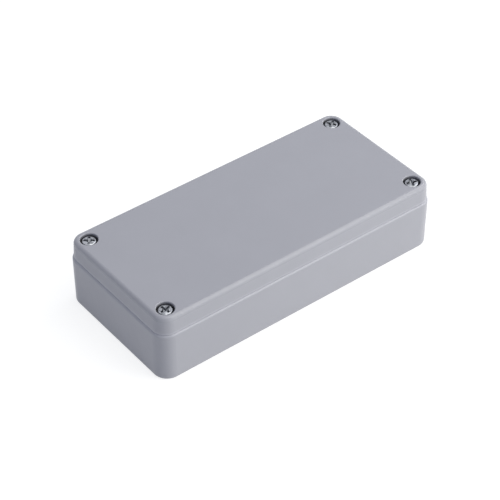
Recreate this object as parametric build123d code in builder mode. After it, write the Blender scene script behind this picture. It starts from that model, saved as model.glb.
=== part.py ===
from build123d import *
import os

# Sealed die-cast aluminium enclosure. X runs along its length, Y across it and Z up,
# with the origin at the centre of the underside. All sizes are in millimetres.

# Outside of the two castings
length = 160.0
width = 75.0
base_height = 26.5
lid_height = 9.5
corner_radius = 7.5
base_draft = 0.3
lid_draft = 3.0
lid_inset = 0.65
foot_edge_radius = 1.5
lid_edge_radius = 2.0
rim_edge_radius = 1.3
skirt_edge = 0.2

# Walls and inside of the castings
wall = 3.5
floor = 3.5
top_plate = 3.0
inside_draft = 1.0
inside_corner_radius = 3.0
floor_edge = 1.0

# Lid screws and the corner columns that take them
screw_edge = 8.0
thread_radius = 2.0
thread_length = 4.0
neck_radius = 1.45
head_radius = 3.5
head_height = 2.4
head_edge = 0.8
captive_travel = 4.2
captive_gap = 0.3
point_length = 0.6
recess_span = 4.8
recess_wing = 0.9
recess_depth = 1.6
recess_taper = 8.0
well_radius = 4.25
well_depth = 3.8
well_edge = 0.3
thread_gap = 0.05
lead_in_gap = 0.4
blind_gap = 1.5

# Retaining washers under the screw heads
washer_radius = 3.6
washer_thickness = 0.8
washer_gap = 0.05
lid_hole_gap = 0.25

# Wall fixing holes beside the screws, outside the seal
fixing_pitch = 11.0
fixing_radius = 2.25
shaft_radius = 3.8
shaft_wall = 2.7
fixing_seat = 4.0
lid_core_depth = 5.5

# Seal between the castings
rib_inset = 0.3
rib_width = 1.0
rib_height = 1.1
groove_width = 1.8
groove_depth = 2.6
lip_gap = 0.2
lip_width = 1.2
lip_depth = 1.5
gasket_side_gap = 0.05

# Bosses for a circuit board
board_pitch_x = 104.0
board_pitch_y = 44.0
boss_radius = 3.75
boss_height = 3.5
boss_draft = 3.0
boss_thread_radius = 1.65
boss_thread_depth = 5.0

# Earth terminal on a boss in one end bay
earth_edge = 9.5
earth_boss_radius = 4.5
earth_boss_height = 4.0
earth_hole_depth = 6.5
earth_screw_reach = 5.0
earth_washer_radius = 4.2
earth_washer_thickness = 0.8
lock_washer_radius = 3.7
lock_washer_thickness = 0.6
lock_tooth_count = 12
lock_tooth_depth = 0.7
lock_tooth_width = 0.9

# Places that follow from the sizes above
top_z = base_height + lid_height
screw_x = length / 2 - screw_edge
screw_y = width / 2 - screw_edge
fixing_y = screw_y - fixing_pitch
bay_x = screw_x - shaft_radius - shaft_wall
bay_y = fixing_y - shaft_radius - shaft_wall
inner_length = length - 2 * wall
inner_width = width - 2 * wall
well_floor = top_z - well_depth
head_seat = well_floor + washer_thickness
neck_end = base_height - captive_travel - captive_gap
thread_end = neck_end - thread_length
hole_radius = thread_radius + thread_gap
earth_x = -(length / 2 - earth_edge)
earth_seat = floor + earth_boss_height

os.makedirs("parts", exist_ok=True)


# Plan of the sealed space: full width between the corner columns, with a bay in each
# end wall between them. A positive grow moves the outline out towards the walls.
def seal_plan(grow=0.0):
    with BuildSketch() as plan:
        Rectangle(inner_length, inner_width)
        with GridLocations(inner_length, inner_width, 2, 2):
            Rectangle(inner_length - 2 * bay_x, inner_width - 2 * bay_y, mode=Mode.SUBTRACT)
        fillet(plan.vertices(), inside_corner_radius)
        if grow != 0.0:
            offset(amount=grow, kind=Kind.ARC)
    return plan.sketch


def save(piece, name):
    piece.part.label = name
    export_step(piece.part, f"parts/{name}.step")
    box = piece.part.bounding_box().size
    print(name, f"{box.X:.2f} x {box.Y:.2f} x {box.Z:.2f}")


# Base casting: a drafted tray with four corner columns, drawn down from its rim
with BuildPart() as base_casting:
    with BuildSketch(Plane.XY.offset(base_height)):
        RectangleRounded(length, width, corner_radius)
    extrude(amount=-base_height, taper=base_draft)
    fillet(base_casting.edges().group_by(Axis.Z)[0], foot_edge_radius)
    fillet(base_casting.edges().group_by(Axis.Z)[-1], rim_edge_radius)

    # The hollow, narrower at the floor so that the casting leaves its core
    with BuildSketch(Plane.XY.offset(base_height)):
        add(seal_plan())
    extrude(amount=floor - base_height, taper=inside_draft, mode=Mode.SUBTRACT)
    chamfer(base_casting.edges(Select.LAST).group_by(Axis.Z)[0], floor_edge)

    # Sealing rib that presses into the gasket all the way round
    with BuildSketch(Plane.XY.offset(base_height)):
        add(seal_plan(rib_inset + rib_width))
        add(seal_plan(rib_inset), mode=Mode.SUBTRACT)
    extrude(amount=rib_height)

    # Lid screw holes, clear at the top and threaded below
    with Locations((0, 0, base_height)):
        with GridLocations(2 * screw_x, 2 * screw_y, 2, 2):
            CounterBoreHole(
                radius=hole_radius,
                counter_bore_radius=thread_radius + lead_in_gap,
                counter_bore_depth=captive_travel + captive_gap,
                depth=base_height - thread_end + blind_gap,
            )

    # Shafts for the wall screws, which seat near the underside
    with Locations((0, 0, base_height)):
        with GridLocations(2 * screw_x, 2 * fixing_y, 2, 2):
            CounterBoreHole(
                radius=fixing_radius,
                counter_bore_radius=shaft_radius,
                counter_bore_depth=base_height - fixing_seat,
                depth=base_height,
            )

    # Threaded bosses for a circuit board
    with BuildSketch(Plane.XY.offset(floor)):
        with GridLocations(board_pitch_x, board_pitch_y, 2, 2):
            Circle(boss_radius)
    extrude(amount=boss_height, taper=boss_draft)
    with Locations((0, 0, floor + boss_height)):
        with GridLocations(board_pitch_x, board_pitch_y, 2, 2):
            Hole(radius=boss_thread_radius, depth=boss_thread_depth)

    # Earth terminal boss
    with BuildSketch(Plane.XY.offset(floor)):
        with Locations((earth_x, 0)):
            Circle(earth_boss_radius)
    extrude(amount=earth_boss_height, taper=boss_draft)
    with Locations((earth_x, 0, earth_seat)):
        Hole(radius=hole_radius, depth=earth_hole_depth)
save(base_casting, "base_casting")


# Lid casting: a drafted cap with a round top edge and a well over each screw. Its skirt
# stands a little back from the base's rounded rim.
with BuildPart() as lid_casting:
    with BuildSketch(Plane.XY.offset(base_height)):
        RectangleRounded(length - 2 * lid_inset, width - 2 * lid_inset, corner_radius - lid_inset)
    extrude(amount=lid_height, taper=lid_draft)
    fillet(lid_casting.edges().group_by(Axis.Z)[-1], lid_edge_radius)
    chamfer(lid_casting.edges().group_by(Axis.Z)[0], skirt_edge)

    # Locating lip that drops just inside the base
    with BuildSketch(Plane.XY.offset(base_height)):
        add(seal_plan(-lip_gap))
    extrude(amount=-lip_depth)

    # The hollow under the top plate
    with BuildSketch(Plane.XY.offset(base_height - lip_depth)):
        add(seal_plan(-lip_gap - lip_width))
    extrude(amount=lip_depth + lid_height - top_plate, taper=inside_draft, mode=Mode.SUBTRACT)

    # Gasket groove between the lip and the skirt
    with BuildSketch(Plane.XY.offset(base_height)):
        add(seal_plan(groove_width))
        add(seal_plan(-lip_gap), mode=Mode.SUBTRACT)
    extrude(amount=groove_depth, mode=Mode.SUBTRACT)

    # Screw wells with a softened mouth
    with Locations((0, 0, top_z)):
        with GridLocations(2 * screw_x, 2 * screw_y, 2, 2):
            CounterBoreHole(
                radius=neck_radius + lid_hole_gap,
                counter_bore_radius=well_radius,
                counter_bore_depth=well_depth,
            )
    chamfer(lid_casting.edges(Select.LAST).group_by(Axis.Z)[-1], well_edge)

    # Cored pockets over the wall screws
    with Locations((0, 0, base_height)):
        with GridLocations(2 * screw_x, 2 * fixing_y, 2, 2):
            Cylinder(
                shaft_radius,
                lid_core_depth,
                align=(Align.CENTER, Align.CENTER, Align.MIN),
                mode=Mode.SUBTRACT,
            )
save(lid_casting, "lid_casting")


# Gasket: a closed ring seated in the roof of the groove, resting on the base's rib
with BuildPart() as lid_gasket:
    with BuildSketch(Plane.XY.offset(base_height + rib_height)):
        add(seal_plan(groove_width - gasket_side_gap))
        add(seal_plan(gasket_side_gap - lip_gap), mode=Mode.SUBTRACT)
    extrude(amount=groove_depth - rib_height)
save(lid_gasket, "lid_gasket")


# A screw with a pan head and a cross recess. Above the thread its neck is thinner, and
# a plain screw has no neck.
def pan_screw(x, y, seat, neck_bottom, thread_bottom):
    with BuildPart() as screw:
        with BuildSketch(Plane.XY.offset(seat)):
            with Locations((x, y)):
                Circle(head_radius)
        extrude(amount=head_height)
        chamfer(screw.edges().group_by(Axis.Z)[-1], head_edge)
        with BuildSketch(Plane.XY.offset(seat + head_height)):
            with Locations((x, y)):
                Rectangle(recess_span, recess_wing)
                Rectangle(recess_wing, recess_span)
        extrude(amount=-recess_depth, taper=recess_taper, mode=Mode.SUBTRACT)
        if neck_bottom < seat:
            with BuildSketch(Plane.XY.offset(seat)):
                with Locations((x, y)):
                    Circle(neck_radius)
            extrude(amount=neck_bottom - seat)
        with BuildSketch(Plane.XY.offset(neck_bottom)):
            with Locations((x, y)):
                Circle(thread_radius)
        extrude(amount=thread_bottom - neck_bottom)
        chamfer(screw.edges().group_by(Axis.Z)[0], point_length)
    return screw


# A flat washer around an upright axis
def flat_washer(x, y, seat, outer_radius, bore_radius, thickness):
    with BuildPart() as washer:
        with BuildSketch(Plane.XY.offset(seat)):
            with Locations((x, y)):
                Circle(outer_radius)
                Circle(bore_radius, mode=Mode.SUBTRACT)
        extrude(amount=thickness)
    return washer


# Lid screws and their retaining washers, one pair in each corner
corners = {
    "front_left": (-screw_x, -screw_y),
    "front_right": (screw_x, -screw_y),
    "back_left": (-screw_x, screw_y),
    "back_right": (screw_x, screw_y),
}
for corner, (x, y) in corners.items():
    lid_screw = pan_screw(x, y, head_seat, neck_end, thread_end)
    save(lid_screw, f"lid_screw_{corner}")
    bore = neck_radius + washer_gap
    screw_washer = flat_washer(x, y, well_floor, washer_radius, bore, washer_thickness)
    save(screw_washer, f"screw_washer_{corner}")


# Earth terminal: flat washer, serrated lock washer and screw, stacked on the boss
earth_washer = flat_washer(
    earth_x, 0, earth_seat, earth_washer_radius, hole_radius, earth_washer_thickness
)
save(earth_washer, "earth_washer")

lock_seat = earth_seat + earth_washer_thickness
with BuildPart() as earth_lock_washer:
    with BuildSketch(Plane.XY.offset(lock_seat)):
        with Locations((earth_x, 0)):
            Circle(lock_washer_radius)
            Circle(hole_radius, mode=Mode.SUBTRACT)
            with PolarLocations(lock_washer_radius, lock_tooth_count):
                Rectangle(2 * lock_tooth_depth, lock_tooth_width, mode=Mode.SUBTRACT)
    extrude(amount=lock_washer_thickness)
save(earth_lock_washer, "earth_lock_washer")

earth_head_seat = lock_seat + lock_washer_thickness
earth_screw = pan_screw(
    earth_x, 0, earth_head_seat, earth_head_seat, earth_seat - earth_screw_reach
)
save(earth_screw, "earth_screw")
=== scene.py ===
import bpy
import math
import numpy as np
from mathutils import Matrix, Vector


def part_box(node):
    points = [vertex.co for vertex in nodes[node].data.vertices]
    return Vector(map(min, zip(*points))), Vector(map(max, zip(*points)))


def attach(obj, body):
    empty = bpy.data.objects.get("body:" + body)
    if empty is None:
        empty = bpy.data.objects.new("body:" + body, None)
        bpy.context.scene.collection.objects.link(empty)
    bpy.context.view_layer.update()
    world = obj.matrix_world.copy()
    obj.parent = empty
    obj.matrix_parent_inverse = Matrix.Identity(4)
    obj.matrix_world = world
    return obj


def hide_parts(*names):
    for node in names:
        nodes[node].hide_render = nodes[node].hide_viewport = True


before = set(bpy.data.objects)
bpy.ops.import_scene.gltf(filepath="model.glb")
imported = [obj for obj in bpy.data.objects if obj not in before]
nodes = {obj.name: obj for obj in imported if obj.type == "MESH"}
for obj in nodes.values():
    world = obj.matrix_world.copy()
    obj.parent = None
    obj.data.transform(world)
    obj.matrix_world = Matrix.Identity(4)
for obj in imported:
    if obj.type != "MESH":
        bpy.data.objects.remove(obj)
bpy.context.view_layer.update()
mm = 0.001               # sizes below are in millimetres, Blender's are in metres
corners = ("front_left", "front_right", "back_left", "back_right")
print("frame loaded:", len(nodes), "nodes")


def boxInMillimetres(node):
    low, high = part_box(node)
    return np.array(low) / mm, np.array(high) / mm


# Small helpers for shader graphs. A value is a number or another node's output.
def feed(tree, socket, value):
    if isinstance(value, bpy.types.NodeSocket):
        tree.links.new(value, socket)
    elif value is not None:
        socket.default_value = value


def mathStep(tree, operation, first, second=None, third=None):
    node = tree.nodes.new("ShaderNodeMath")
    node.operation = operation
    for socket, value in zip(node.inputs, (first, second, third)):
        feed(tree, socket, value)
    return node.outputs[0]


def combine(tree, operation, first, *others):
    # one operation over several values, such as the product of some masks
    for other in others:
        first = mathStep(tree, operation, first, other)
    return first


def ramp(tree, value, low, high, start=0.0, end=1.0):
    # a smooth step from start to end while the value goes from low to high
    node = tree.nodes.new("ShaderNodeMapRange")
    node.interpolation_type = "SMOOTHSTEP"
    for socket, number in zip(node.inputs, (value, low, high, start, end)):
        feed(tree, socket, number)
    return node.outputs[0]


def noiseAt(tree, place, featureSize, detail=2.0, stretch=(1, 1, 1)):
    # featureSize is the width of one blotch in millimetres
    scaled = tree.nodes.new("ShaderNodeVectorMath")
    scaled.operation = "MULTIPLY"
    feed(tree, scaled.inputs[0], place)
    scaled.inputs[1].default_value = [s / (featureSize * mm) for s in stretch]
    node = tree.nodes.new("ShaderNodeTexNoise")
    feed(tree, node.inputs["Vector"], scaled.outputs[0])
    node.inputs["Scale"].default_value = 1.0
    node.inputs["Detail"].default_value = detail
    return node.outputs["Fac"]


def spread(tree, noise, start=0.0, end=1.0):
    # noise lies mostly between 0.3 and 0.7, and that range is spread from start to end
    return ramp(tree, noise, 0.3, 0.7, start, end)


def shaded(colour, share):
    return [channel * share for channel in colour]


def blendColours(tree, amount, first, second):
    # the node's inputs 6 and 7 and its output 2 are the ones for colours
    node = tree.nodes.new("ShaderNodeMix")
    node.data_type = "RGBA"
    feed(tree, node.inputs[0], amount)
    for socket, value in zip((node.inputs[6], node.inputs[7]), (first, second)):
        feed(tree, socket, value if isinstance(value, bpy.types.NodeSocket) else (*value, 1.0))
    return node.outputs[2]


def blendNumbers(tree, amount, first, second):
    return mathStep(tree, "MULTIPLY_ADD", amount, mathStep(tree, "SUBTRACT", second, first), first)


def bumpFrom(tree, height, depth, normal=None):
    # depth is the height in millimetres of a full step from 0 to 1
    node = tree.nodes.new("ShaderNodeBump")
    node.inputs["Strength"].default_value = 1.0
    node.inputs["Distance"].default_value = depth * mm
    feed(tree, node.inputs["Height"], height)
    feed(tree, node.inputs["Normal"], normal)
    return node.outputs[0]


def newMaterial(name, metallic=0.0):
    material = bpy.data.materials.new(name)
    material.use_nodes = True
    tree = material.node_tree
    shader = tree.nodes["Principled BSDF"]
    shader.inputs["Metallic"].default_value = metallic
    place = tree.nodes.new("ShaderNodeTexCoord").outputs["Object"]
    return material, tree, shader, place


def splitMillimetres(tree, place):
    # x, y and z of a point in millimetres
    scaled = tree.nodes.new("ShaderNodeVectorMath")
    scaled.operation = "SCALE"
    feed(tree, scaled.inputs[0], place)
    scaled.inputs["Scale"].default_value = 1 / mm
    parts = tree.nodes.new("ShaderNodeSeparateXYZ")
    feed(tree, parts.inputs[0], scaled.outputs[0])
    return parts.outputs[0], parts.outputs[1], parts.outputs[2]


def offsetFrom(tree, x, y, centreX, centreY):
    # offset in plan from a centre that is mirrored into all four quarters
    across = mathStep(tree, "SUBTRACT", mathStep(tree, "ABSOLUTE", x), centreX)
    along = mathStep(tree, "SUBTRACT", mathStep(tree, "ABSOLUTE", y), centreY)
    return across, along


def lengthOf(tree, across, along):
    squares = [mathStep(tree, "MULTIPLY", side, side) for side in (across, along)]
    return mathStep(tree, "SQRT", mathStep(tree, "ADD", *squares))


def distanceTo(tree, x, y, centreX, centreY):
    return lengthOf(tree, *offsetFrom(tree, x, y, centreX, centreY))


def threadAt(tree, x, y, z, centre, reach, bottom, top, pitch):
    # ridge height from 0 to 1 on the wall of a tapped hole: it climbs one pitch a turn
    across, along = offsetFrom(tree, x, y, *centre)
    turn = mathStep(tree, "DIVIDE", mathStep(tree, "ARCTAN2", along, across), 2 * math.pi)
    phase = mathStep(tree, "FRACT", mathStep(tree, "SUBTRACT", mathStep(tree, "DIVIDE", z, pitch), turn))
    ridge = mathStep(tree, "PINGPONG", mathStep(tree, "MULTIPLY", phase, 2.0), 1.0)
    near = mathStep(tree, "LESS_THAN", lengthOf(tree, across, along), reach)
    above = mathStep(tree, "GREATER_THAN", z, bottom)
    below = mathStep(tree, "LESS_THAN", z, top)
    return combine(tree, "MULTIPLY", ridge, near, above, below)


# Castings: powder coat on the outside, bare die-cast aluminium inside
castingLook = {
    "coatColour": (0.366, 0.367, 0.412),
    "coatTone": 0.03,            # share by which the coat's colour wanders
    "coatCloud": 14.0,           # one blotch of it
    "coatRoughness": (0.36, 0.40),
    "coatPatch": 3.0,            # one patch of the same roughness
    "peelSize": 0.9,             # orange peel, one blotch
    "peelDepth": 0.012,
    "grainSize": 0.16,
    "grainDepth": 0.004,
    "metalDark": (0.35, 0.355, 0.36),
    "metalLight": (0.52, 0.525, 0.53),
    "metalFlow": 7.0,            # flow marks, one blotch across
    "metalStretch": (0.35, 1.0, 1.0),
    "metalRoughness": (0.39, 0.57),
    "metalPatch": 2.0,
    "castSize": 1.6,             # cast skin, one blotch
    "castDepth": 0.03,
    "coatReach": 1.6,            # how far the coat runs in over a rim
    "coatFade": 0.15,
    "cornerRadius": 7.5,
    "underside": 0.6,            # below this height and above the next one all is coated
    "topSide": 35.2,
    "wellPlace": (72.0, 29.5),
    "wellRadius": 4.7,
    "wellFloor": 32.0,
    "wellMouth": 35.7,
    "wellDark": 34.2,            # from here down the wells have their full painted shade
    "wellPaintedShade": 0.29,
    "rimHeight": 26.6,           # the middle of the rims at the parting
    "rimReach": 1.3,             # from it to where their painted highlight ends
    "rimCore": 0.2,              # and to where it begins to fade
    # painted highlight on the rims: the share by which their colour is raised
    "rimPaintedHighlight": 1.19,
    "topEdgeReach": 3.4,         # from the outline in to the end of the lid's rounded edge
    "topEdgeFade": 0.5,
    "topEdgeStart": 33.6,
    "edgeGloss": 0.13,           # how much less rough the coat is on rims and edges
    "pinPlace": (36.0, 20.0),    # ejector pin marks
    "pinRadius": 3.0,
    "pinFade": 0.1,
    "pinDepth": 0.12,
    "screwThread": {"centre": (72.0, 29.5), "reach": 2.3, "bottom": 16.6, "top": 21.9, "pitch": 0.7},
    "boardThread": {"centre": (52.0, 22.0), "reach": 1.9, "bottom": 2.1, "top": 6.8, "pitch": 0.7},
    "threadDepth": 0.28,
}


def castingMaterial():
    look = castingLook
    material, tree, shader, place = newMaterial("silver_powder_coat")
    x, y, z = splitMillimetres(tree, place)

    # edge is the signed distance to the plan outline, a rectangle with round corners
    low, high = boxInMillimetres("base_casting")
    radius = look["cornerRadius"]
    outX, outY = offsetFrom(tree, x, y, *((high - low)[:2] / 2 - radius))
    past = [mathStep(tree, "MAXIMUM", out, 0.0) for out in (outX, outY)]
    inside = mathStep(tree, "MINIMUM", mathStep(tree, "MAXIMUM", outX, outY), 0.0)
    edge = mathStep(tree, "SUBTRACT", mathStep(tree, "ADD", lengthOf(tree, *past), inside), radius)

    # the coat covers the skin, the underside, the top and the screw wells
    coatEnd, coatFade = -look["coatReach"], look["coatFade"]
    skin = ramp(tree, edge, coatEnd - coatFade, coatEnd + coatFade)
    under = mathStep(tree, "LESS_THAN", z, look["underside"])
    top = mathStep(tree, "GREATER_THAN", z, look["topSide"])
    wellAway = distanceTo(tree, x, y, *look["wellPlace"])
    nearWell = mathStep(tree, "LESS_THAN", wellAway, look["wellRadius"])
    well = mathStep(tree, "MULTIPLY", nearWell, mathStep(tree, "GREATER_THAN", z, look["wellFloor"]))
    coat = combine(tree, "MAXIMUM", skin, under, top, well)
    bare = mathStep(tree, "SUBTRACT", 1.0, coat)

    # the coat wanders a little in tone, and the bare metal keeps the marks of its flow
    colour, tone = look["coatColour"], look["coatTone"]
    cloud = noiseAt(tree, place, look["coatCloud"], detail=3.0)
    coatColour = blendColours(tree, cloud, shaded(colour, 1 - tone), shaded(colour, 1 + tone))
    flow = noiseAt(tree, place, look["metalFlow"], detail=5.0, stretch=look["metalStretch"])
    metalColour = blendColours(tree, spread(tree, flow), look["metalDark"], look["metalLight"])

    # painted highlight: the coat's colour is raised on the rims at the parting; painted shade: it is
    # darkened down the wells
    rimAway = mathStep(tree, "ABSOLUTE", mathStep(tree, "SUBTRACT", z, look["rimHeight"]))
    rim = mathStep(tree, "MULTIPLY", ramp(tree, rimAway, look["rimReach"], look["rimCore"]), skin)
    coatColour = blendColours(tree, rim, coatColour, shaded(colour, look["rimPaintedHighlight"]))
    # painted shade: the coat darkens from the wells' mouth downwards
    sunk = mathStep(tree, "MULTIPLY", well, ramp(tree, z, look["wellMouth"], look["wellDark"]))
    coatColour = blendColours(tree, sunk, coatColour, shaded(colour, look["wellPaintedShade"]))
    feed(tree, shader.inputs["Base Color"], blendColours(tree, coat, metalColour, coatColour))
    feed(tree, shader.inputs["Metallic"], bare)

    # the coat flows smoother over the rims and over the lid's rounded top edge
    edgeEnd = -look["topEdgeReach"]
    nearEdge = ramp(tree, edge, edgeEnd, edgeEnd + look["topEdgeFade"])
    topEdge = mathStep(tree, "MULTIPLY", nearEdge, mathStep(tree, "GREATER_THAN", z, look["topEdgeStart"]))
    smooth = mathStep(tree, "MAXIMUM", rim, topEdge)
    coatRoughness = spread(tree, noiseAt(tree, place, look["coatPatch"]), *look["coatRoughness"])
    coatRoughness = mathStep(tree, "MULTIPLY_ADD", smooth, -look["edgeGloss"], coatRoughness)
    metalPatch = noiseAt(tree, place, look["metalPatch"], detail=3.0)
    metalRoughness = spread(tree, metalPatch, *look["metalRoughness"])
    feed(tree, shader.inputs["Roughness"], blendNumbers(tree, coat, metalRoughness, coatRoughness))

    # relief: orange peel and grain, and inside the cast skin, pin marks and tapped holes
    pinRadius, pinFade = look["pinRadius"], look["pinFade"]
    pinAway = distanceTo(tree, x, y, *look["pinPlace"])
    pin = ramp(tree, pinAway, pinRadius - pinFade, pinRadius + pinFade)
    threads = [threadAt(tree, x, y, z, **look[name]) for name in ("screwThread", "boardThread")]
    heights = (
        (mathStep(tree, "MULTIPLY", noiseAt(tree, place, look["peelSize"], detail=1.0), coat), "peelDepth"),
        (noiseAt(tree, place, look["grainSize"]), "grainDepth"),
        (mathStep(tree, "MULTIPLY", noiseAt(tree, place, look["castSize"], detail=4.0), bare), "castDepth"),
        (mathStep(tree, "MULTIPLY", pin, bare), "pinDepth"),
        (mathStep(tree, "ADD", *threads), "threadDepth"),
    )
    normal = None
    for height, depth in heights:
        normal = bumpFrom(tree, height, look[depth], normal)
    feed(tree, shader.inputs["Normal"], normal)
    return material


# Turned and cold-formed steel, with rings around each screw's own axis
steelLook = {
    "screwColour": (0.345, 0.36, 0.40),
    "screwRoughness": 0.25,
    "terminalColour": (0.58, 0.56, 0.50),
    "terminalRoughness": 0.30,
    "roughnessRange": (-0.05, 0.08),
    "ringSpacing": 0.16,
    "ringDepth": 0.003,
    "grainSize": 0.25,
    "grainDepth": 0.004,
    "cloudSize": 1.3,
    "cloudRange": (0.35, 0.65),  # noise from here to here goes from dull to bright
    "cloudTone": (0.62, 1.22),   # dull and bright, as shares of the colour
    "recessPaintedShade": 0.72,         # share of the colour left in the recess by the painted shade
    "recessReach": 2.9,
    "recessRim": 0.28,           # depth below the head's top at which the recess begins
    "recessFade": 0.2,
    "recessEnd": 2.3,
}


def steelMaterial(name, colour, roughness, screwNode):
    look = steelLook
    material, tree, shader, place = newMaterial(name, metallic=1.0)
    x, y, z = splitMillimetres(tree, place)
    low, high = boxInMillimetres(screwNode)
    away = distanceTo(tree, x, y, *np.abs((low + high)[:2] / 2))
    cloud = noiseAt(tree, place, look["cloudSize"], detail=4.0)
    dull, bright = (shaded(colour, share) for share in look["cloudTone"])
    unshaded = blendColours(tree, ramp(tree, cloud, *look["cloudRange"]), dull, bright)

    # painted shade: the colour is darkened in the cross recess
    depth = mathStep(tree, "SUBTRACT", high[2], z)
    belowRim = ramp(tree, depth, look["recessRim"], look["recessRim"] + look["recessFade"])
    aboveEnd = mathStep(tree, "LESS_THAN", depth, look["recessEnd"])
    nearAxis = mathStep(tree, "LESS_THAN", away, look["recessReach"])
    sunk = combine(tree, "MULTIPLY", belowRim, aboveEnd, nearAxis)
    recessShadeColour = shaded(colour, look["recessPaintedShade"])
    feed(tree, shader.inputs["Base Color"], blendColours(tree, sunk, unshaded, recessShadeColour))

    smoothest, roughest = (roughness + change for change in look["roughnessRange"])
    feed(tree, shader.inputs["Roughness"], spread(tree, cloud, smoothest, roughest))
    ring = mathStep(tree, "SINE", mathStep(tree, "MULTIPLY", away, 2 * math.pi / look["ringSpacing"]))
    normal = bumpFrom(tree, ring, look["ringDepth"])
    grain = noiseAt(tree, place, look["grainSize"], detail=3.0)
    feed(tree, shader.inputs["Normal"], bumpFrom(tree, grain, look["grainDepth"], normal))
    return material


# Gasket rubber with a pale bloom, and washer nylon
rubberLook = {
    "colour": (0.022, 0.023, 0.025),
    "tone": (1.0, 1.7),          # darkest and palest patches, as shares of the colour
    "roughness": (0.54, 0.72),
    "cloudSize": 3.0,
    "cloudDetail": 4.0,
    "grainSize": 0.22,
    "grainDetail": 3.0,
    "grainDepth": 0.010,
}
nylonLook = {
    "colour": (0.026, 0.026, 0.028),
    "tone": (0.8, 1.3),
    "roughness": (0.37, 0.50),
    "cloudSize": 1.5,
    "cloudDetail": 3.0,
    "grainSize": 0.3,
    "grainDetail": 2.0,
    "grainDepth": 0.006,
}


def softMaterial(name, look):
    material, tree, shader, place = newMaterial(name)
    cloud = noiseAt(tree, place, look["cloudSize"], look["cloudDetail"])
    dark, pale = (shaded(look["colour"], share) for share in look["tone"])
    grain = noiseAt(tree, place, look["grainSize"], look["grainDetail"])
    feed(tree, shader.inputs["Base Color"], blendColours(tree, cloud, dark, pale))
    feed(tree, shader.inputs["Roughness"], spread(tree, cloud, *look["roughness"]))
    feed(tree, shader.inputs["Normal"], bumpFrom(tree, grain, look["grainDepth"]))
    return material


# A surface from a grid of points in millimetres. Rows run along the profile and columns
# around it. Round the columns it is closed, and along the rows it closes on itself or in
# a pole at each end. Faces are turned outwards by the sign of the enclosed volume.
def gridPiece(name, grid, closedRows=False, sharpAngle=40.0):
    rows, columns = grid.shape[:2]
    index = np.arange(rows * columns).reshape(rows, columns)
    beside = np.roll(index, -1, axis=1)
    points = grid.reshape(-1, 3)
    if closedRows:
        below, belowBeside = np.roll(index, -1, axis=0), np.roll(beside, -1, axis=0)
        quads = np.stack([index, below, belowBeside, beside], -1).reshape(-1, 4)
        faces = np.concatenate([quads[:, [0, 1, 2]], quads[:, [0, 2, 3]]])
    else:
        quads = np.stack([index[:-1], index[1:], beside[1:], beside[:-1]], -1).reshape(-1, 4)
        points = np.vstack([points, grid[0].mean(0), grid[-1].mean(0)])
        firstPole = np.full(columns, rows * columns)
        lastPole = firstPole + 1
        firstFan = np.stack([index[0], beside[0], firstPole], -1)
        lastFan = np.stack([beside[-1], index[-1], lastPole], -1)
        faces = np.concatenate([quads[:, [0, 1, 2]], quads[:, [0, 2, 3]], firstFan, lastFan])
    a, b, c = (points[faces[:, k]] for k in range(3))
    if np.einsum("ij,ij->i", a, np.cross(b, c)).sum() < 0:
        faces = faces[:, ::-1]
    mesh = bpy.data.meshes.new(name)
    mesh.from_pydata((points * mm).tolist(), [], faces.tolist())
    mesh.update()
    mesh.shade_smooth()
    mesh.set_sharp_from_angle(angle=math.radians(sharpAngle))
    piece = bpy.data.objects.new(name, mesh)
    bpy.context.scene.collection.objects.link(piece)
    return piece


def roundGrid(centre, r, z, angle):
    # points at radius r and height z round an upright axis, for any mix of array shapes
    x = centre[0] + r * np.cos(angle)
    y = centre[1] + r * np.sin(angle)
    return np.stack([x, y, np.broadcast_to(z, x.shape)], -1)


def arcPoints(centreR, centreZ, radiusR, radiusZ, start, end, count):
    # points (r, z) on a quarter or part of an ellipse, angles in degrees
    angle = np.radians(np.linspace(start, end, count))
    return np.stack([centreR + radiusR * np.cos(angle), centreZ + radiusZ * np.sin(angle)], -1)


def finishPiece(piece, material, body, slotName, *cadNodes):
    piece.data.materials.append(material)
    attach(piece, body)
    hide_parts(*cadNodes)


# Pan head screw with a cross recess
screwShape = {
    "headHeight": 2.4,
    "crown": 0.30,             # how much the head's top is domed
    "edgeRound": 0.85,         # width of the head's rounded edge
    "edgeDrop": 1.0,           # and its height
    "edgeStart": 80.0,         # angle at which its arc leaves the domed top
    "edgeRows": 9,
    "seatBevel": (0.10, 0.12),         # inwards and upwards
    "innerRow": 0.12,          # radius of the first row round the pole
    "topRows": (3, 6, 9),      # rows to the cone's foot, to its rim and to the wings' ends
    "recessReach": 2.60,       # from the axis to the end of a wing
    "recessDepth": 1.95,
    "wingHalf": 0.56,          # half of a wing's width
    "wingWidest": 38.0,        # most degrees that half a wing takes near the axis
    "wingEndDepth": 0.80,
    "wingCurve": 0.7,          # below 1 a wing's floor falls fastest at its end
    "wingWall": 0.10,          # width of the wall at a wing's end
    "coreRadius": 1.45,        # the cone in the middle of the recess
    "coreFoot": 0.60,
    "neckRadius": 1.45,
    "neckLength": 11.0,
    "neckFillet": 0.15,
    "threadMinor": 1.62,
    "threadMajor": 2.0,
    "threadPitch": 0.7,
    "threadGap": 0.2,          # plain length before each end of the ridge
    "threadFade": (0.5, 0.6),  # lengths over which the ridge runs out, at neck and tip
    "ridgeSlope": 1.3,         # stretches the ridge's wave, so that its crest is flat
    "ridgeRoot": 0.15,         # sinks it, so that its root is flat
    "tipLength": 0.6,
    "tipBevel": ((0.12, 0.15), (0.30, 0.0)),       # inwards and up from the end
    "tipInner": 0.5,
    "rowsPerTurn": 10,
    "turnedBy": {              # degrees to which each recess is turned
        "front_left": 8.0, "front_right": -20.0, "back_left": 52.0, "back_right": 30.0,
        "earth": 15.0,
    },
}
slack = 1e-6             # lets rounded values pass a comparison


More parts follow.
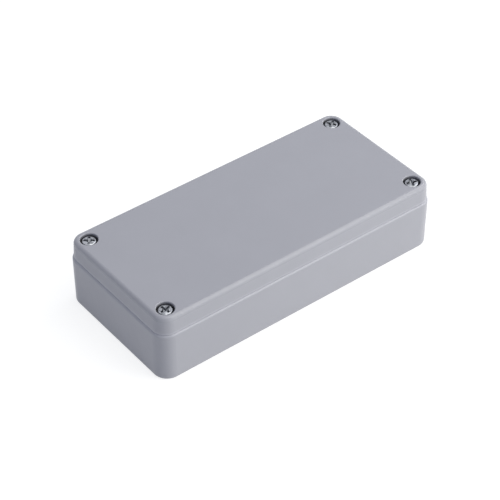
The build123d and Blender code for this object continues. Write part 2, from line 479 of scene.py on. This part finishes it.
# Rows of radius and height, from the axis over the head and down the shank: a parabola
# for the domed top, an ellipse's arc for the head's edge, and straight runs below. With
# them come the number of rows on the head's top and the height where the thread begins.
def screwProfile(headRadius, top, bottom, neckLength):
    shape = screwShape
    reach, coreRadius, coreFoot = shape["recessReach"], shape["coreRadius"], shape["coreFoot"]
    footRows, rimRows, endRows = shape["topRows"]
    topR = np.concatenate([
        np.linspace(shape["innerRow"], coreFoot, footRows),
        np.linspace(coreFoot, coreRadius, rimRows)[1:],
        np.linspace(coreRadius, reach - shape["wingWall"], endRows)[1:],
        [reach],
    ])
    topZ = top - shape["crown"] * (topR / headRadius) ** 2
    headTop = np.stack([topR, topZ], -1)
    edgeRound, edgeDrop = shape["edgeRound"], shape["edgeDrop"]
    headEdge = arcPoints(
        headRadius - edgeRound, topZ[-1] - edgeDrop, edgeRound, edgeDrop,
        shape["edgeStart"], 0, shape["edgeRows"],
    )

    minor, fillet = shape["threadMinor"], shape["neckFillet"]
    neckRadius = shape["neckRadius"] if neckLength > 0 else minor
    seat = top - shape["headHeight"]
    bevelIn, bevelUp = shape["seatBevel"]
    under = [
        [headRadius, seat + bevelUp], [headRadius - bevelIn, seat],
        [neckRadius + fillet, seat], [neckRadius, seat - fillet],
    ]
    threadTop = seat - neckLength
    if neckLength > 0:
        under.append([neckRadius, threadTop])

    firstTurn, lastTurn = threadTop - shape["threadGap"], bottom + shape["tipLength"]
    threadRows = int(round((firstTurn - lastTurn) / shape["threadPitch"] * shape["rowsPerTurn"]))
    thread = np.stack([np.full(threadRows, minor), np.linspace(firstTurn, lastTurn, threadRows)], -1)
    tip = [[minor - inwards, bottom + up] for inwards, up in shape["tipBevel"]]
    tip.append([shape["tipInner"], bottom])
    return np.concatenate([headTop, headEdge, under, thread, tip]), len(headTop), threadTop


# The profile is turned round the axis. Columns lie in four quarters, one about each wing.
# Across a quarter the parameter t runs from -1 to 1, with the wing's foot at wingFoot and
# its rim at wingRim, so that the recess wall stays on the same columns at every radius: t
# is stretched to the wing's own angle, the arc sine of its half width over the radius.
def screwPiece(name, node, neckLength, turned):
    shape = screwShape
    low, high = boxInMillimetres(node)
    headRadius = (high[0] - low[0]) / 2
    top, bottom = high[2], low[2]
    profile, topRows, threadTop = screwProfile(headRadius, top, bottom, neckLength)
    r, z = profile[:, :1], profile[:, 1:]

    # angle of every column on every row
    wingFoot, wingRim = 0.34, 0.40
    besideColumns, wingColumns = 11, 9
    t = np.concatenate([
        np.linspace(-1.0, -wingRim, besideColumns),
        np.linspace(-wingFoot, wingFoot, wingColumns),
        np.linspace(wingRim, 1.0, besideColumns)[:-1],
    ])
    quarter = np.repeat(np.arange(4), len(t))[None, :] * math.pi / 2
    t = np.tile(t, 4)[None, :]
    size = np.abs(t)
    widest = math.sin(math.radians(shape["wingWidest"]))
    wingAngle = np.arcsin(np.clip(shape["wingHalf"] / r, 0.0, widest))
    inWing = wingAngle * size / wingRim
    besideWing = wingAngle + (math.pi / 4 - wingAngle) * (size - wingRim) / (1 - wingRim)
    angle = quarter + np.sign(t) * np.where(size <= wingRim, inWing, besideWing)

    # recess: wings that get shallower outwards, and a cone in the middle
    reach, deepest, endDepth = shape["recessReach"], shape["recessDepth"], shape["wingEndDepth"]
    rise = (1 - np.clip(r / reach, 0, 1)) ** shape["wingCurve"]
    wingFloor = np.where(r <= reach - shape["wingWall"] / 2, endDepth + (deepest - endDepth) * rise, 0.0)
    coreRadius, coreFoot = shape["coreRadius"], shape["coreFoot"]
    cone = deepest * np.clip((coreRadius - r) / (coreRadius - coreFoot), 0, 1)
    sunk = np.maximum(np.where(size <= wingFoot + slack, wingFloor, 0.0), cone)
    isTop = (np.arange(len(profile)) < topRows)[:, None]

    # thread: a ridge that climbs one pitch a turn and runs out at both ends
    turnShare = np.mod(z / shape["threadPitch"] - angle / (2 * math.pi), 1.0)
    ridge = np.clip(shape["ridgeSlope"] * np.abs(2 * turnShare - 1) - shape["ridgeRoot"], 0, 1)
    gap, (neckFade, tipFade) = shape["threadGap"], shape["threadFade"]
    fade = np.clip((threadTop - gap - z) / neckFade, 0, 1) * np.clip((z - bottom - gap) / tipFade, 0, 1)
    isThread = (z <= threadTop) & (z >= bottom + shape["tipLength"] - slack)
    ridgeHeight = shape["threadMajor"] - shape["threadMinor"]

    grid = roundGrid(
        (low + high) / 2,
        r + np.where(isThread, ridge * fade * ridgeHeight, 0.0),
        z - np.where(isTop, sunk, 0.0),
        angle + math.radians(turned),
    )
    return gridPiece(name, grid, sharpAngle=38.0)


# Flat ring with rounded edges: its section is carried round the axis
washerShape = {
    "nylonBore": 1.5,
    "earthBore": 2.05,
    "rounding": 0.12,
    "arcRows": 4,
    "columns": 96,
}


def ringPiece(name, node, bore):
    low, high = boxInMillimetres(node)
    rounding, rows = washerShape["rounding"], washerShape["arcRows"]
    outer, inner = (high[0] - low[0]) / 2 - rounding, bore + rounding
    upper, lower = high[2] - rounding, low[2] + rounding
    section = np.concatenate([
        arcPoints(outer, upper, rounding, rounding, 90, 0, rows),
        arcPoints(outer, lower, rounding, rounding, 0, -90, rows),
        arcPoints(inner, lower, rounding, rounding, -90, -180, rows),
        arcPoints(inner, upper, rounding, rounding, 180, 90, rows),
    ])
    angle = np.linspace(0, 2 * math.pi, washerShape["columns"], endpoint=False)[None, :]
    grid = roundGrid((low + high) / 2, section[:, :1], section[:, 1:], angle)
    return gridPiece(name, grid, closedRows=True)


# Lock washer: a flat ring whose outer edge is cut into teeth. Notches shorten the radius
# between the teeth, and the height leans from one side of a tooth to the other.
lockShape = {
    "bore": 2.05,
    "toothCount": 12,
    "toothDepth": 0.7,
    "stepsPerTooth": 24,
    "notchHalf": 0.16,       # half of a notch, as a share of one tooth's pitch
    "notchFlank": 0.05,
    "rows": (0.0, 0.55, 0.80, 1.0),    # shares of the way from the bore to the outer edge
    "twist": 0.10,
    "twistRange": (0.4, 0.8),          # shares at which the twist begins and is full
}


def lockWasherPiece(name, node):
    shape = lockShape
    low, high = boxInMillimetres(node)
    centre = (low + high) / 2
    teeth = shape["toothCount"]
    turns = np.linspace(0, teeth, shape["stepsPerTooth"] * teeth, endpoint=False)[None, :]
    phase = np.mod(turns, 1.0)
    notch = np.clip((shape["notchHalf"] - np.abs(phase - 0.5)) / shape["notchFlank"], 0, 1)
    share = np.concatenate([shape["rows"], shape["rows"][::-1]])[:, None]
    side = np.repeat([1, -1], len(shape["rows"]))[:, None]
    reach = high[1] - centre[1] - shape["bore"] - shape["toothDepth"] * notch
    begin, full = shape["twistRange"]
    twist = shape["twist"] * np.clip((share - begin) / (full - begin), 0, 1)
    lean = twist * (2 * np.mod(phase + 0.5, 1.0) - 1)
    half = (high[2] - low[2]) / 2 - shape["twist"]
    grid = roundGrid(
        centre,
        shape["bore"] + share * reach,
        centre[2] + side * half + lean,
        turns / teeth * 2 * math.pi,
    )
    return gridPiece(name, grid, closedRows=True, sharpAngle=30.0)


# Gasket: a rounded section carried along the groove, with the dent that the rib leaves
gasketShape = {
    "halfLength": 76.5,
    "halfWidth": 34.0,
    "bayX": 65.5,
    "bayY": 12.0,
    "cornerRadius": 3.0,
    "middle": 0.8,           # from the sealed space's outline to the gasket's centre line
    "sectionWidth": 1.9,
    "rounding": 0.45,        # of the edges that face the rib
    "roundRows": 5,
    "topRounding": 0.15,
    "topRows": 4,
    "dent": 0.12,
    "dentRows": 9,
    "stepsPerCorner": 10,
}


def gasketPath():
    # Stations of the centre line and its outward direction. Each of the twelve corners is
    # an arc; outer corners gain the offset and inner ones lose it.
    shape = gasketShape
    a, b = shape["halfLength"], shape["halfWidth"]
    c, d = shape["bayX"], shape["bayY"]
    corner = np.array([
        (a, -d), (a, d), (c, d), (c, b), (-c, b), (-c, d),
        (-a, d), (-a, -d), (-c, -d), (-c, -b), (c, -b), (c, -d),
    ])
    before = corner - np.roll(corner, 1, axis=0)
    after = np.roll(corner, -1, axis=0) - corner
    before /= np.linalg.norm(before, axis=1, keepdims=True)
    after /= np.linalg.norm(after, axis=1, keepdims=True)
    turn = np.sign(before[:, 0] * after[:, 1] - before[:, 1] * after[:, 0])
    radius = shape["cornerRadius"]
    centre = corner - before * radius + after * radius
    start = np.arctan2(-before[:, 0] * turn, before[:, 1] * turn)
    sweep = np.linspace(0, 1, shape["stepsPerCorner"])[None, :]
    angle = start[:, None] + turn[:, None] * sweep * math.pi / 2
    outward = np.stack([np.cos(angle), np.sin(angle)], -1)
    offsetRadius = radius + turn[:, None, None] * shape["middle"]
    line = centre[:, None, :] + outward * offsetRadius
    outward = outward * turn[:, None, None]
    return line.reshape(-1, 2), outward.reshape(-1, 2)


def gasketPiece(name, node):
    shape = gasketShape
    low, high = boxInMillimetres(node)
    line, outward = gasketPath()
    half, rounding, topRounding = shape["sectionWidth"] / 2, shape["rounding"], shape["topRounding"]
    roundRows, topRows = shape["roundRows"], shape["topRows"]
    upper, lower = high[2] - topRounding, low[2] + rounding
    across = np.linspace(-1, 1, shape["dentRows"])
    dentZ = low[2] + shape["dent"] * np.cos(across * math.pi / 2) ** 2
    section = np.concatenate([
        arcPoints(half - rounding, lower, rounding, rounding, -90, 0, roundRows)[1:],
        arcPoints(half - topRounding, upper, topRounding, topRounding, 0, 90, topRows),
        arcPoints(topRounding - half, upper, topRounding, topRounding, 90, 180, topRows),
        arcPoints(rounding - half, lower, rounding, rounding, 180, 270, roundRows)[:-1],
        np.stack([across * (half - rounding), dentZ], -1),
    ])
    offset, z = section[:, :1, None], section[:, 1:, None]
    plan = line[None, :, :] + offset * outward[None, :, :]
    grid = np.concatenate([plan, np.broadcast_to(z, (*plan.shape[:2], 1))], -1)
    return gridPiece(name, grid, closedRows=True)


casting = castingMaterial()
for node in ("base_casting", "lid_casting"):
    nodes[node].material_slots[0].material = casting
print("castings coated")

screwSteel = steelMaterial(
    "screw_steel_bright", steelLook["screwColour"], steelLook["screwRoughness"], "lid_screw_back_right",
)
nylon = softMaterial("washer_nylon_black", nylonLook)
turnedBy = screwShape["turnedBy"]
for corner in corners:
    screwNode, washerNode = "lid_screw_" + corner, "screw_washer_" + corner
    screw = screwPiece("pan_screw_" + corner, screwNode, screwShape["neckLength"], turnedBy[corner])
    finishPiece(screw, screwSteel, "screw_" + corner, "screw_steel", screwNode)
    washer = ringPiece("nylon_washer_" + corner, washerNode, washerShape["nylonBore"])
    finishPiece(washer, nylon, "washer_" + corner, "washer_nylon", washerNode)
print("lid screws and washers made")

terminalSteel = steelMaterial(
    "terminal_steel_zinc", steelLook["terminalColour"], steelLook["terminalRoughness"], "earth_screw",
)
earthScrew = screwPiece("earth_pan_screw", "earth_screw", 0.0, turnedBy["earth"])
finishPiece(earthScrew, terminalSteel, "base", "terminal_steel", "earth_screw")
earthWasher = ringPiece("earth_flat_washer", "earth_washer", washerShape["earthBore"])
finishPiece(earthWasher, terminalSteel, "base", "terminal_steel", "earth_washer")
lockWasher = lockWasherPiece("earth_toothed_washer", "earth_lock_washer")
finishPiece(lockWasher, terminalSteel, "base", "terminal_steel", "earth_lock_washer")
print("earth terminal made")

gasket = gasketPiece("rubber_gasket", "lid_gasket")
finishPiece(gasket, softMaterial("gasket_rubber_black", rubberLook), "lid", "gasket_rubber", "lid_gasket")
print("gasket made")


# Floor, light and camera
stageLook = {
    "floorSide": 6000.0,
    "floorDrop": 0.05,       # how far the floor lies below the object
    "floorBounce": 0.80,     # its colour for the light that it sends on to the object
    "floorGlow": 0.80,       # what the camera sees of it besides the light that falls on it
    "floorTint": 0.34,       # and the share of that light
    "skyColour": (0.76, 0.83, 1.0),
    "skyStrength": 0.41,
    "softboxes": {
        "front": {
            "direction": (0.62, -0.78, 0.26), "distance": 1300.0, "size": (1400.0, 500.0),
            "power": 10.0, "colour": (0.993, 0.985, 0.885), "mirrored": False,
        },
        "top": {
            "direction": (0.30, -0.25, 0.92), "distance": 1600.0, "size": (1500.0, 1500.0),
            "power": 12.9, "colour": (1.0, 0.98, 0.88), "mirrored": True,
        },
        "side": {
            "direction": (0.72, 0.15, 0.68), "distance": 1100.0, "size": (400.0, 400.0),
            "power": 1.35, "colour": (1.0, 1.0, 1.0), "mirrored": True,
        },
        "edge": {
            "direction": (0.468, -0.71, 0.53), "distance": 1100.0, "size": (300.0, 300.0),
            "power": 1.1, "colour": (1.0, 1.0, 1.0), "mirrored": True,
        },
    },
}
cameraLook = {
    "lens": 125.90,
    "sensorWidth": 36.0,
    "place": (-388.20, -493.75, 549.66),
    "back": (-0.46766, -0.59809, 0.65083),
    "up": (0.40174, 0.51204, 0.75922),
    "clip": (10.0, 50000.0),
}


def grey(value):
    return (value, value, value, 1.0)


def seenDirectly(tree):
    # 1 for rays from the camera, from a reflection or through something clear
    path = tree.nodes.new("ShaderNodeLightPath")
    kinds = [path.outputs[name] for name in ("Is Camera Ray", "Is Glossy Ray", "Is Transmission Ray")]
    return combine(tree, "MAXIMUM", *kinds)


def mixByRay(tree, hidden, direct, output):
    # hidden lights the object, direct is what is seen
    mix = tree.nodes.new("ShaderNodeMixShader")
    for socket, value in zip(mix.inputs, (seenDirectly(tree), hidden.outputs[0], direct.outputs[0])):
        feed(tree, socket, value)
    feed(tree, output.inputs["Surface"], mix.outputs[0])


def makeFloor():
    look = stageLook
    material = bpy.data.materials.new("studio_floor")
    material.use_nodes = True
    tree = material.node_tree
    tree.nodes.remove(tree.nodes["Principled BSDF"])
    bounce = tree.nodes.new("ShaderNodeBsdfDiffuse")
    bounce.inputs["Color"].default_value = grey(look["floorBounce"])
    shade = tree.nodes.new("ShaderNodeBsdfDiffuse")
    shade.inputs["Color"].default_value = grey(look["floorTint"])
    glow = tree.nodes.new("ShaderNodeEmission")
    glow.inputs["Strength"].default_value = look["floorGlow"]
    both = tree.nodes.new("ShaderNodeAddShader")
    tree.links.new(shade.outputs[0], both.inputs[0])
    tree.links.new(glow.outputs[0], both.inputs[1])
    mixByRay(tree, bounce, both, tree.nodes["Material Output"])

    half = look["floorSide"] / 2 * mm
    z = -look["floorDrop"] * mm
    square = [(-half, -half, z), (half, -half, z), (half, half, z), (-half, half, z)]
    mesh = bpy.data.meshes.new("studio_floor")
    mesh.from_pydata(square, [], [(0, 1, 2, 3)])
    mesh.materials.append(material)
    floor = bpy.data.objects.new("studio_floor", mesh)
    bpy.context.scene.collection.objects.link(floor)


def makeLight():
    look = stageLook
    world = bpy.data.worlds.new("soft_sky")
    bpy.context.scene.world = world
    world.use_nodes = True
    tree = world.node_tree
    sky = tree.nodes["Background"]
    sky.inputs["Color"].default_value = (*look["skyColour"], 1.0)
    sky.inputs["Strength"].default_value = look["skyStrength"]
    white = tree.nodes.new("ShaderNodeBackground")
    white.inputs["Color"].default_value = grey(1.0)
    white.inputs["Strength"].default_value = 1.0
    mixByRay(tree, sky, white, tree.nodes["World Output"])

    for name, softbox in look["softboxes"].items():
        lamp = bpy.data.lights.new(name + "_softbox", "AREA")
        lamp.shape = "RECTANGLE"
        lamp.size, lamp.size_y = (side * mm for side in softbox["size"])
        lamp.energy = softbox["power"]
        lamp.color = softbox["colour"]
        box = bpy.data.objects.new(name + "_softbox", lamp)
        direction = Vector(softbox["direction"]).normalized()
        box.location = direction * softbox["distance"] * mm
        box.rotation_euler = direction.to_track_quat("Z", "Y").to_euler()
        box.visible_glossy = softbox["mirrored"]     # whether glossy surfaces show it
        bpy.context.scene.collection.objects.link(box)


def makeCamera():
    look = cameraLook
    back = Vector(look["back"]).normalized()
    up = Vector(look["up"]).normalized()
    turn = Matrix((up.cross(back), up, back)).transposed()
    data = bpy.data.cameras.new("photo_camera")
    data.lens = look["lens"]
    data.sensor_width = look["sensorWidth"]
    data.clip_start, data.clip_end = (distance * mm for distance in look["clip"])
    camera = bpy.data.objects.new("photo_camera", data)
    camera.location = Vector(look["place"]) * mm
    camera.rotation_euler = turn.to_euler()
    bpy.context.scene.collection.objects.link(camera)
    bpy.context.scene.camera = camera


makeFloor()
makeLight()
makeCamera()
bpy.context.scene.view_settings.view_transform = "Standard"
print("stage, light and camera set")
